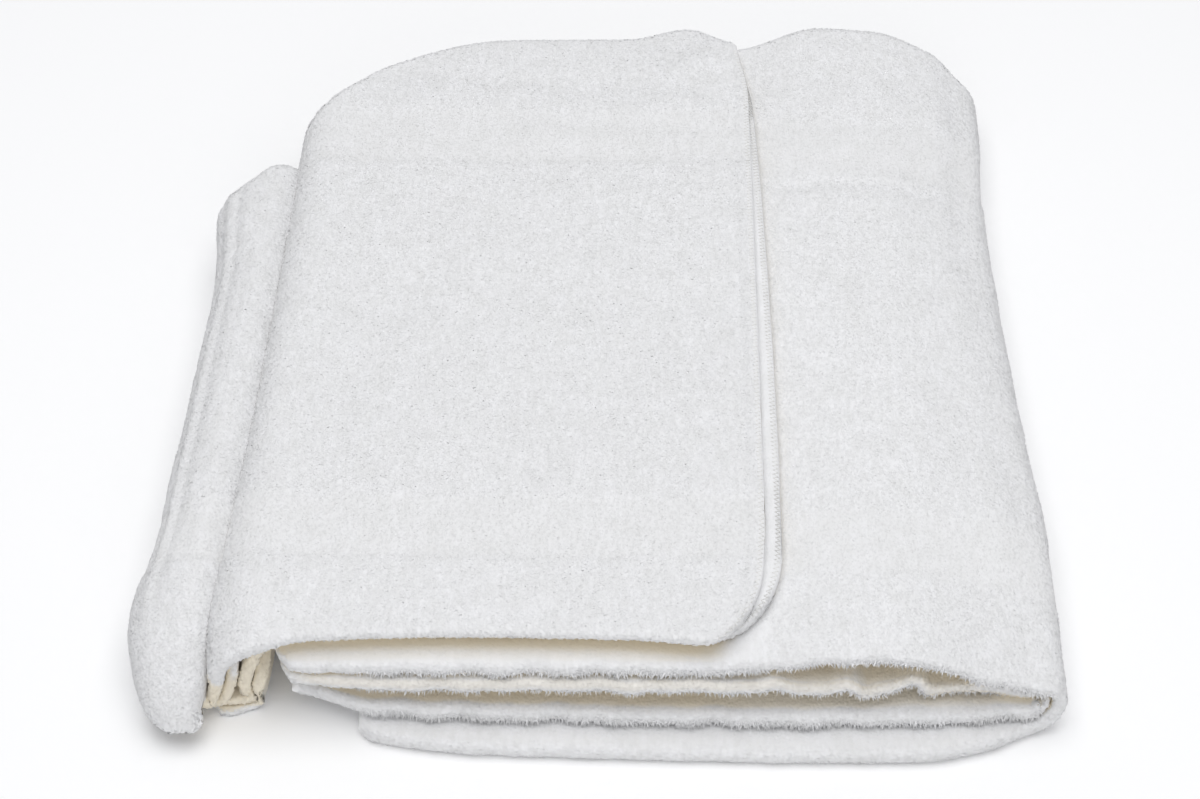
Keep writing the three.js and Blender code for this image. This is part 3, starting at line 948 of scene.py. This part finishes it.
    def rings(self) -> tuple[np.ndarray, np.ndarray, np.ndarray, np.ndarray]:
        """Works out the closed outline of both layers at every ring.

        Returns:
            The places, the pile lengths, the pile zones and how far the pile hangs, by ring and station.
        """
        d = self.ring_distances()
        wrap, wrap_y = self.outer_face(d, Side.WRAP)
        core, core_y = self.outer_face(d, Side.CORE)
        wrap_in, _ = self.inner_face(d, Side.WRAP)
        core_in, _ = self.inner_face(d, Side.CORE)
        wrap_lip = self.lip(d, Side.WRAP)
        core_lip = self.lip(d, Side.CORE)
        bend = self.back_bend(d, True, self.bend_stations)
        bend_in = self.back_bend(d, False, self.bend_stations // 2)
        backwards = [part[:, ::-1] for part in (core, bend_in, wrap_in, wrap_lip)]
        parts = [wrap, bend, backwards[0], core_lip, core_in, *backwards[1:]]
        places = np.concatenate(parts, axis=1)
        bare = 1 - self.hem(d)[:, None]
        flat_wrap, flat_core = (
            1 - sum(self.band_flatness * band.at(y) for band in BANDS) for y in (wrap_y, core_y)
        )
        open_wrap = self.openness(d, Side.WRAP)[:, None]
        open_core = self.openness(d, Side.CORE)[:, None]
        zone_wrap, zone_core = (self.zones(d, side)[:, None] for side in Side)
        behind = (zone_core == Zone.FLAP_FRONT.value) & (core_y > self.flap_middle)
        zone_core = np.where(behind, Zone.FLAP_BACK.value, zone_core)
        lengths = [
            bare * open_wrap * flat_wrap,
            bare * np.ones(bend.shape[:2]),
            (bare * open_core * flat_core)[:, ::-1],
            bare * np.ones(core_lip.shape[:2]),
            np.zeros(core_in.shape[:2]),
            np.zeros(bend_in.shape[:2]),
            np.zeros(wrap_in.shape[:2]),
            bare * np.ones(wrap_lip.shape[:2]),
        ]
        zones = [
            zone_wrap * np.ones(wrap.shape[:2]),
            Zone.BACK.value * np.ones(bend.shape[:2]),
            zone_core[:, ::-1],
            Zone.LIPS.value * np.ones(core_lip.shape[:2]),
            np.zeros(core_in.shape[:2]),
            np.zeros(bend_in.shape[:2]),
            np.zeros(wrap_in.shape[:2]),
            Zone.LIPS.value * np.ones(wrap_lip.shape[:2]),
        ]
        hang = [np.zeros(part.shape[:2]) for part in parts]
        core_at, wrap_at = 3, 7
        hang[core_at] += self.lip_hang(d, Side.CORE)
        hang[wrap_at] += self.lip_hang(d, Side.WRAP)[:, ::-1]
        for part in (core_at, wrap_at):
            hang[part] *= smoothstep(parts[part][..., 0], *self.hang_x)
        lengths, zones, hang = (np.concatenate(table, axis=1) for table in (lengths, zones, hang))
        return places, lengths, zones, hang

    def upper_core(self, distance: np.ndarray) -> np.ndarray:
        """Returns: 1 on the strip's upper run, whose core lip takes painted beige shade, and 0 elsewhere."""
        start, end = self.strip.mark(UPPER_RUN[0]), self.strip.mark(UPPER_RUN[7])
        return smoothstep(distance, start, start + 12) * (1 - smoothstep(distance, end - 8, end + 8))

    def inner_stations(self) -> slice:
        """Returns: the stations of a ring that lie between the strip's two layers, its lips among them."""
        outer = 2 * self.face_stations + self.bend_stations
        return slice(outer, None)

    def build(self, material: bpy.types.Material) -> bpy.types.Object:
        """Makes the sheet in place of the solid.

        Args:
            material: the cloth's material.

        Returns:
            The cloth's object, with its pile length, zone and painted-shade openness kept on its points.
        """
        places, lengths, zones, hang = self.rings()
        places[..., 2] = np.where(places[..., 2] < self.floor_snap, 0, places[..., 2])
        bands = sum(band.at(places[..., 1]) for band in BANDS)
        # Painted shade: beige shade on the inner plies near the front and above the floor, and on the upper
        # run's core lip.
        near = 1 - smoothstep(places[..., 1], *self.painted_shade_depths)
        cream = self.cream * near * self.inner_plies(self.ring_distances())[:, None] * np.ones(lengths.shape)
        cream[zones == Zone.BUNDLE.value] = 0
        cream *= smoothstep(places[..., 2], *self.painted_shade_heights)
        inside = np.zeros(lengths.shape[1], bool)
        inside[self.inner_stations()] = True
        distance = self.ring_distances()[:, None]
        core_lip = inside * (np.cumsum(inside) <= self.lip_stations)
        upper_half = smoothstep(np.cumsum(inside), *self.painted_shade_stations)
        cream += self.crumple_painted_shade * self.upper_core(distance) * near * core_lip * upper_half
        # Painted shade: how much fold shade each face takes, the faces between the layers apart from the
        # outer ones.
        warm = np.where(inside, self.fold_shade_amount(distance, True), self.fold_shade_amount(distance, False))
        places = (places - np.array((self.middle_x, self.middle_y, 0))) * MM
        rings, stations = lengths.shape
        bm = bmesh.new()
        bmesh.ops.create_grid(bm, x_segments=stations, y_segments=rings - 1, size=1)
        names = ("pile", "zone", "hang", "open", "band", "cream", "warm")
        layers = {name: bm.verts.layers.float.new(name) for name in names}
        bm.verts.ensure_lookup_table()
        for index, vert in enumerate(bm.verts):
            ring, station = divmod(index, stations + 1)
            station %= stations
            vert.co = places[ring, station]
            vert[layers["pile"]] = lengths[ring, station]
            vert[layers["zone"]] = zones[ring, station]
            vert[layers["hang"]] = hang[ring, station]
            vert[layers["band"]] = bands[ring, station]
            vert[layers["cream"]] = cream[ring, station]
            vert[layers["warm"]] = warm[ring, station]
        bmesh.ops.remove_doubles(bm, verts=bm.verts, dist=0.004 * MM)
        self.close_ends(bm)
        bmesh.ops.recalc_face_normals(bm, faces=bm.faces)
        self.measure_openness(bm, layers["open"])
        # Painted shade: the "open" share falls where little open air is seen and on the painted plies, and
        # the material mixes its beige fold shade in there.
        for vert in bm.verts:
            closed = (1 - vert[layers["open"]]) * vert[layers["warm"]]
            vert[layers["open"]] = (1 - closed) * (1 - vert[layers["cream"]])
        mesh = bpy.data.meshes.new("terry_cloth")
        bm.to_mesh(mesh)
        bm.free()
        mesh.shade_smooth()
        mesh.materials.append(material)
        cloth = bpy.data.objects.new("terry_cloth", mesh)
        bpy.context.scene.collection.objects.link(cloth)
        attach(cloth, "root")
        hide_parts("towel")
        return cloth

    @staticmethod
    def close_ends(bm: bmesh.types.BMesh) -> None:
        """Closes the openings at the strip's two free ends, one left and one right of the middle."""
        rim = [edge for edge in bm.edges if edge.is_boundary]
        lower_end = [edge for edge in rim if edge.verts[0].co.x < 0]
        upper_end = [edge for edge in rim if edge.verts[0].co.x > 0]
        for end in (lower_end, upper_end):
            bmesh.ops.triangle_fill(bm, use_beauty=True, edges=end, normal=(1, 0, 0))

    def fold_shade_amount(self, distance: np.ndarray, inner: bool) -> np.ndarray:
        """Returns: how much of the painted beige fold shade a face takes, less in shallow creases and at the
        hems.

        Args:
            distance: the distance along the strip.
            inner: whether the face lies between the strip's two layers.
        """
        if inner:
            turn = self.strip.mark(RIGHT_FOLD[0])
            lower = smoothstep(distance, turn - self.fold_shade_fade, turn + self.fold_shade_fade)
            hem = smoothstep(distance, self.strip.mark(FLAP[4]), self.strip.mark(FLAP[4]) + 10)
            return lower * (1 - self.hem_shade_cut * hem)
        valley = smoothstep(distance, self.strip.mark(RIDGE[2]), self.strip.mark(RIDGE[3]))
        flap = smoothstep(distance, self.strip.mark(FLAP[0]), self.strip.mark(FLAP[1]))
        beside = smoothstep(distance, self.strip.mark(RIGHT_FOLD[1]), self.strip.mark(UPPER_RUN[0]))
        under = smoothstep(distance, self.strip.mark(UPPER_RUN[4]) + 2, self.strip.mark(UPPER_RUN[5]))
        return 1 - self.crease_shade_cut * valley * (1 - flap) - self.hem_shade_cut * beside * (1 - under)

    def measure_openness(self, bm: bmesh.types.BMesh, layer: bmesh.types.BMLayerItem) -> None:
        """Stores at each point the share of straight ways out that reach open air.

        Args:
            bm: the cloth.
            layer: where the share is kept.
        """
        tree = BVHTree.FromBMesh(bm)
        random = np.random.default_rng(self.openness_seed)
        ways = random.normal(size=(self.openness_rays, 3))
        ways /= np.linalg.norm(ways, axis=1)[:, None]
        ways = [Vector(way) for way in ways]
        reach = self.openness_reach * MM
        for vert in bm.verts:
            normal = vert.normal
            start = vert.co + normal * (self.openness_start * MM)
            free = 0
            for way in ways:
                out = (way * self.openness_spread + normal).normalized()
                free += tree.ray_cast(start, out, reach)[0] is None
            vert[layer] = free / len(ways)


@dataclass(frozen=True)
class Tuft:
    """One kind of tuft: its size in millimetres, how it leans, and how its random sizes spread."""

    name: str
    width: float
    height: float
    spread: float
    smallest: tuple[float, float, float]
    largest: tuple[float, float, float]
    full_height: float = 1.3
    middle_height: float = 0.35

    def build(self, material: bpy.types.Material) -> bpy.types.Object:
        """Returns: one closed, pointed tuft, which stands on the origin."""
        bm = bmesh.new()
        bmesh.ops.create_cone(
            bm, cap_ends=True, cap_tris=False, segments=3, radius1=self.width / 2 * MM, radius2=0,
            depth=self.height * self.full_height * MM,
        )
        bmesh.ops.remove_doubles(bm, verts=bm.verts, dist=0.001 * MM)
        bmesh.ops.translate(bm, verts=bm.verts, vec=(0, 0, self.height * self.middle_height * MM))
        mesh = bpy.data.meshes.new(self.name)
        bm.to_mesh(mesh)
        bm.free()
        mesh.shade_smooth()
        mesh.materials.append(material)
        tuft = bpy.data.objects.new(self.name, mesh)
        bpy.context.scene.collection.objects.link(tuft)
        return tuft


@dataclass
class LoopPile:
    """The looped pile: low tufts on the open faces of the cloth, and loose ends that hang from its lips."""

    loop: Tuft = Tuft("pile_loop", 2.1, 0.48, 0.3, (0.8, 0.8, 0.5), (1.3, 1.3, 1.4))
    strand: Tuft = Tuft("loose_strand", 1.0, 2.0, 1.2, (0.6, 0.6, 0.25), (1.3, 1.3, 1.3))
    strand_shading: tuple[float, float, float] = (0.0, -0.5, 0.85)
    strand_lean: tuple[float, float, float] = (0.0, -0.9, -0.5)
    tuft_triangles: int = 4
    most_triangles: int = 760000
    most_each: int = 194000
    strand_density: float = 3.6e6
    clump_size: float = 4.0
    clump_from: float = 0.38
    clump_to: float = 0.6
    full_cover: float = 4.0
    softness: float = 0.9
    seed: int = 11

    def scatter_tree(self, tuft: Tuft, model: bpy.types.Object, lean: tuple[float, float, float],
                     density: float, seed: int) -> bpy.types.NodeTree:
        """Builds the nodes that stand tufts on a face.

        Args:
            tuft: the kind of tuft.
            model: the tuft to repeat.
            lean: the way that the pile is brushed, added to the face's own direction.
            density: tufts for each square metre where the pile is full.
            seed: the number that fixes the random places.

        Returns:
            The node tree, whose instances are made real.
        """
        hanging = tuft is self.strand
        tree = bpy.data.node_groups.new(f"stand_{tuft.name}", "GeometryNodeTree")
        tree.interface.new_socket("Cloth", in_out="INPUT", socket_type="NodeSocketGeometry")
        tree.interface.new_socket("Pile", in_out="OUTPUT", socket_type="NodeSocketGeometry")
        start = add_node(tree, "NodeGroupInput")
        length = add_node(
            tree, "GeometryNodeInputNamedAttribute", {"data_type": "FLOAT"},
            {"Name": "hang" if hanging else "pile"},
        )
        share = add_node(
            tree, "ShaderNodeMath", {"operation": "MULTIPLY", "use_clamp": True}, {1: self.full_cover},
            {0: length.outputs["Attribute"]},
        )
        if hanging:
            clumps = add_node(
                tree, "ShaderNodeTexNoise", inputs={"Scale": 1 / (self.clump_size * MM), "Detail": 2.0}
            )
            gathered = add_node(
                tree, "ShaderNodeMapRange", inputs={"From Min": self.clump_from, "From Max": self.clump_to},
                links={"Value": clumps.outputs["Fac"]},
            )
            share = add_node(
                tree, "ShaderNodeMath", {"operation": "MULTIPLY"},
                links={0: share.outputs[0], 1: gathered.outputs["Result"]},
            )
        full = add_node(
            tree, "ShaderNodeMath", {"operation": "MULTIPLY"}, {1: density}, {0: share.outputs[0]}
        )
        points = add_node(
            tree, "GeometryNodeDistributePointsOnFaces", {"distribute_method": "RANDOM"}, {"Seed": seed},
            {"Mesh": start.outputs["Cloth"], "Density": full.outputs[0]},
        )
        shading = {} if hanging else {"Value": points.outputs["Normal"]}
        marked = add_node(
            tree, "GeometryNodeStoreNamedAttribute", {"data_type": "FLOAT_VECTOR", "domain": "POINT"},
            {"Name": "up", "Value": self.strand_shading},
            {"Geometry": points.outputs["Points"], **shading},
        )
        lit = add_node(
            tree, "GeometryNodeStoreNamedAttribute", {"data_type": "FLOAT", "domain": "POINT"},
            {"Name": "open", "Value": 1.0, "Selection": hanging}, {"Geometry": marked.outputs["Geometry"]},
        )
        stray = add_node(
            tree, "FunctionNodeRandomValue", {"data_type": "FLOAT_VECTOR"},
            {0: (-tuft.spread,) * 3, 1: (tuft.spread,) * 3, "Seed": seed + 1},
        )
        brushed = add_node(
            tree, "ShaderNodeVectorMath", {"operation": "ADD"}, {1: lean}, {0: points.outputs["Normal"]}
        )
        strewn = add_node(
            tree, "ShaderNodeVectorMath", {"operation": "ADD"},
            links={0: brushed.outputs[0], 1: stray.outputs[0]},
        )
        turned = add_node(
            tree, "FunctionNodeAlignRotationToVector", {"axis": "Z"}, links={"Vector": strewn.outputs[0]}
        )
        spin = add_node(
            tree, "FunctionNodeRandomValue", {"data_type": "FLOAT"},
            {2: 0.0, 3: 2 * math.pi, "Seed": seed + 3},
        )
        about = add_node(
            tree, "FunctionNodeAxisAngleToRotation", inputs={"Axis": (0.0, 0.0, 1.0)},
            links={"Angle": spin.outputs[1]},
        )
        rotated = add_node(
            tree, "FunctionNodeRotateRotation", {"rotation_space": "LOCAL"},
            links={0: turned.outputs["Rotation"], 1: about.outputs["Rotation"]},
        )
        size = add_node(
            tree, "FunctionNodeRandomValue", {"data_type": "FLOAT_VECTOR"},
            {0: tuft.smallest, 1: tuft.largest, "Seed": seed + 2},
        )
        kept = add_node(
            tree, "ShaderNodeVectorMath", {"operation": "SCALE"},
            links={0: size.outputs[0], "Scale": length.outputs["Attribute"]},
        )
        shape = add_node(tree, "GeometryNodeObjectInfo", inputs={"Object": model})
        stood = add_node(
            tree, "GeometryNodeInstanceOnPoints",
            links={
                "Points": lit.outputs["Geometry"],
                "Rotation": rotated.outputs[0],
                "Scale": kept.outputs[0],
                "Instance": shape.outputs["Geometry"],
            },
        )
        real = add_node(tree, "GeometryNodeRealizeInstances", links={"Geometry": stood.outputs["Instances"]})
        add_node(tree, "NodeGroupOutput", links={"Pile": real.outputs["Geometry"]})
        return tree

    def zone_copy(self, cloth: bpy.types.Object, zone: Zone) -> tuple[bpy.types.Object, float]:
        """Returns: a copy of the cloth's faces in one zone, and the area of pile on them."""
        bm = bmesh.new()
        bm.from_mesh(cloth.data)
        zones = bm.verts.layers.float["zone"]
        pile = bm.verts.layers.float["pile"]
        others = [
            face for face in bm.faces
            if round(max(vert[zones] for vert in face.verts)) != zone.value
        ]
        bmesh.ops.delete(bm, geom=others, context="FACES")
        covers = (
            self.full_cover * sum(vert[pile] for vert in face.verts) / len(face.verts) for face in bm.faces
        )
        area = sum(face.calc_area() * min(1.0, cover) for face, cover in zip(bm.faces, covers))
        mesh = bpy.data.meshes.new("zone")
        bm.to_mesh(mesh)
        bm.free()
        copy = bpy.data.objects.new("zone", mesh)
        bpy.context.scene.collection.objects.link(copy)
        return copy, area

    def soften(self, mesh: bpy.types.Mesh) -> None:
        """Turns the tufts' shading most of the way to that of the cloth below, as light spreads in cotton."""
        count = len(mesh.vertices)
        up = np.zeros(count * 3, np.float32)
        mesh.attributes["up"].data.foreach_get("vector", up)
        own = np.zeros(count * 3, np.float32)
        mesh.vertices.foreach_get("normal", own)
        mixed = up.reshape(-1, 3) * self.softness + own.reshape(-1, 3) * (1 - self.softness)
        mixed /= np.linalg.norm(mixed, axis=1, keepdims=True)
        mesh.normals_split_custom_set_from_vertices(mixed)
        mesh.attributes.remove(mesh.attributes["up"])

    def piece(self, name: str, copy: bpy.types.Object, tree: bpy.types.NodeTree) -> bpy.types.Object:
        """Makes the tufts on one zone real.

        Args:
            name: the piece's name.
            copy: the zone's faces, which the piece takes the place of.
            tree: the nodes that stand the tufts.

        Returns:
            The piece.
        """
        modifier = copy.modifiers.new("pile", "NODES")
        modifier.node_group = tree
        dressed = copy.evaluated_get(bpy.context.evaluated_depsgraph_get())
        mesh = bpy.data.meshes.new_from_object(dressed)
        mesh.name = name
        self.soften(mesh)
        pile = bpy.data.objects.new(name, mesh)
        bpy.context.scene.collection.objects.link(pile)
        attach(pile, "root")
        LOG.info("%s: %d triangles", name, sum(len(face.vertices) - 2 for face in mesh.polygons))
        return pile

    def build(self, cloth: bpy.types.Object, material: bpy.types.Material) -> list[bpy.types.Object]:
        """Stands the pile on each open zone of the cloth.

        Args:
            cloth: the bare cloth.
            material: the cloth's material.

        Returns:
            The pile pieces.
        """
        brushing = {
            Zone.FLAP_FRONT: (0.0, -0.45, 0.0),
            Zone.FLAP_BACK: (0.0, -0.35, 0.0),
            Zone.CREST: (0.05, -0.1, 0.0),
            Zone.BUNDLE: (0.0, -0.35, -0.1),
            Zone.LIPS: (0.0, -0.2, 0.0),
            Zone.BACK: (0.0, 0.0, -0.1),
        }
        loop = self.loop.build(material)
        strand = self.strand.build(material)
        copies = {zone: self.zone_copy(cloth, zone) for zone in brushing}
        total = sum(area for _, area in copies.values())
        density = self.most_triangles / self.tuft_triangles / total
        pieces = []
        for zone, (copy, area) in copies.items():
            limit = self.most_each / self.tuft_triangles / area
            seed = self.seed + zone.value
            tree = self.scatter_tree(self.loop, loop, brushing[zone], min(density, limit), seed)
            pieces.append(self.piece(f"pile_{zone.name.lower()}", copy, tree))
            bpy.data.objects.remove(copy)
        lips, _ = self.zone_copy(cloth, Zone.LIPS)
        tree = self.scatter_tree(self.strand, strand, self.strand_lean, self.strand_density, self.seed)
        pieces.append(self.piece("loose_strands", lips, tree))
        for model in (lips, loop, strand):
            bpy.data.objects.remove(model)
        return pieces


@dataclass
class HemStitching:
    """Overlock thread over the cut ends of the cloth, zigzag from its edge inwards. Millimetres."""

    cloth: TerryCloth
    width: float = 2.2
    pitch: float = 2.0
    thread: float = 0.34
    edge: float = 0.5
    clear_front: float = 2.5
    clear_back: float = 4.0

    def line(self, side: Side, inner: bool, upper: bool) -> np.ndarray:
        """Works out the thread's way along one hem.

        Args:
            side: the layer that is sewn.
            inner: whether the thread shows on the layer's inner face.
            upper: whether the hem is at the strip's upper end.

        Returns:
            The thread's points.
        """
        strip = self.cloth.strip
        end = np.array(strip.length if upper else 0.0)
        front = float(strip.table["wrap" if side is Side.WRAP else "core"](end)) + self.clear_front
        back = float(strip.table["back"](end)) - self.clear_back
        y = np.arange(front, back, self.pitch / 2)
        into_corner = np.clip(1 - (y - front + self.clear_front) / strip.corner_depth, 0, 1)
        rounding = strip.corner_width * (1 - np.sqrt(1 - into_corner**2))
        from_edge = np.where(np.arange(len(y)) % 2 == 0, self.edge, self.width)
        distance = strip.length - rounding - from_edge if upper else from_edge
        low, _ = self.cloth.heights(distance, side, y)
        height = low - self.thread / 4 if inner else self.cloth.lifted(distance, y, side) + self.thread / 4
        return self.cloth.place(distance, y, side, height)

    def build(self, material: bpy.types.Material) -> bpy.types.Object:
        """Makes the thread on both layers of the upper hem and on the lower hem's open layer.

        Args:
            material: the thread's material.

        Returns:
            The thread's object.
        """
        curve = bpy.data.curves.new("overlock_thread", "CURVE")
        curve.dimensions = "3D"
        curve.bevel_depth = self.thread / 2 * MM
        curve.bevel_resolution = 0
        curve.use_fill_caps = True
        middle = np.array((self.cloth.middle_x, self.cloth.middle_y, 0))
        hems = ((Side.CORE, False, True), (Side.WRAP, True, True), (Side.WRAP, True, False))
        for side, inner, upper in hems:
            points = (self.line(side, inner, upper) - middle) * MM
            spline = curve.splines.new("POLY")
            spline.points.add(len(points) - 1)
            spline.points.foreach_set("co", np.column_stack([points, np.ones(len(points))]).ravel())
        path = bpy.data.objects.new("overlock_path", curve)
        bpy.context.scene.collection.objects.link(path)
        mesh = bpy.data.meshes.new_from_object(path.evaluated_get(bpy.context.evaluated_depsgraph_get()))
        bpy.data.objects.remove(path)
        mesh.materials.clear()
        mesh.materials.append(material)
        mesh.shade_smooth()
        thread = bpy.data.objects.new("overlock_thread", mesh)
        bpy.context.scene.collection.objects.link(thread)
        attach(thread, "root")
        return thread


@dataclass
class Studio:
    """A plain pale floor, soft light from all round and the camera at the photograph's angle. Metres."""

    floor_size: float = 6.0
    floor_colour: str = "FFFFFF"
    camera_place: tuple[float, float, float] = (0.01163, -0.62235, 0.6312)
    camera_tilt: float = 44.0
    camera_turn: float = 1.28
    lens: float = 65.1
    sky: float = 0.52
    key_power: float = 12.9
    key_place: tuple[float, float, float] = (0.0, -0.02, 1.5)
    key_size: float = 1.4
    fill_power: float = 2.6
    fill_place: tuple[float, float, float] = (0.1, -1.3, 0.4)
    fill_size: float = 0.9

    def build(self) -> None:
        """Sets the floor, the lights and the camera."""
        self.floor()
        self.lights()
        self.camera()

    def floor(self) -> None:
        """Lays the floor."""
        bm = bmesh.new()
        bmesh.ops.create_grid(bm, x_segments=1, y_segments=1, size=self.floor_size / 2)
        mesh = bpy.data.meshes.new("floor")
        bm.to_mesh(mesh)
        bm.free()
        material = bpy.data.materials.new("matt_white_board")
        material.use_nodes = True
        shader = material.node_tree.nodes["Principled BSDF"]
        shader.inputs["Base Color"].default_value = hex_colour(self.floor_colour)
        shader.inputs["Roughness"].default_value = 0.9
        shader.inputs["Specular IOR Level"].default_value = 0.1
        mesh.materials.append(material)
        floor = bpy.data.objects.new("floor", mesh)
        floor.location.z = -0.0002
        bpy.context.scene.collection.objects.link(floor)

    def lights(self) -> None:
        """Sets an even sky, a large soft panel overhead and a weaker one in front."""
        world = bpy.data.worlds.new("soft_sky")
        world.use_nodes = True
        world.node_tree.nodes["Background"].inputs["Color"].default_value = hex_colour("FBFCFF")
        world.node_tree.nodes["Background"].inputs["Strength"].default_value = self.sky
        bpy.context.scene.world = world
        bpy.context.scene.view_settings.view_transform = "Standard"
        self.panel("key_panel", self.key_power, self.key_size, self.key_place)
        self.panel("fill_panel", self.fill_power, self.fill_size, self.fill_place)

    @staticmethod
    def panel(name: str, power: float, size: float, place: tuple[float, float, float]) -> None:
        """Hangs one square soft light, turned to the middle of the floor.

        Args:
            name: the light's name.
            power: its power in watts.
            size: the length of its sides.
            place: where it hangs.
        """
        data = bpy.data.lights.new(name, "AREA")
        data.energy = power
        data.size = size
        light = bpy.data.objects.new(name, data)
        light.location = place
        light.rotation_euler = (-Vector(place)).to_track_quat("-Z", "Y").to_euler()
        bpy.context.scene.collection.objects.link(light)

    def camera(self) -> None:
        """Stands the camera where the photograph was taken from."""
        data = bpy.data.cameras.new("camera")
        data.lens = self.lens
        data.sensor_width = 36.0
        data.clip_start = 0.05
        camera = bpy.data.objects.new("camera", data)
        camera.location = self.camera_place
        camera.rotation_euler = Euler((math.radians(self.camera_tilt), 0, math.radians(self.camera_turn)))
        bpy.context.scene.collection.objects.link(camera)
        bpy.context.scene.camera = camera


def main() -> None:
    """Builds the towel and its setting."""
    logging.basicConfig(level=logging.INFO, format="%(message)s")
    terry = TerryCotton().build()
    cloth_maker = TerryCloth(FoldedStrip())
    cloth = cloth_maker.build(terry)
    LOG.info("cloth: %d faces", len(cloth.data.polygons))
    pile = LoopPile().build(cloth, terry)
    thread = HemStitching(cloth_maker).build(OverlockThread().build())
    LOG.info("hem thread: %d faces", len(thread.data.polygons))
    Studio().build()


if __name__ == "__main__":
    main()
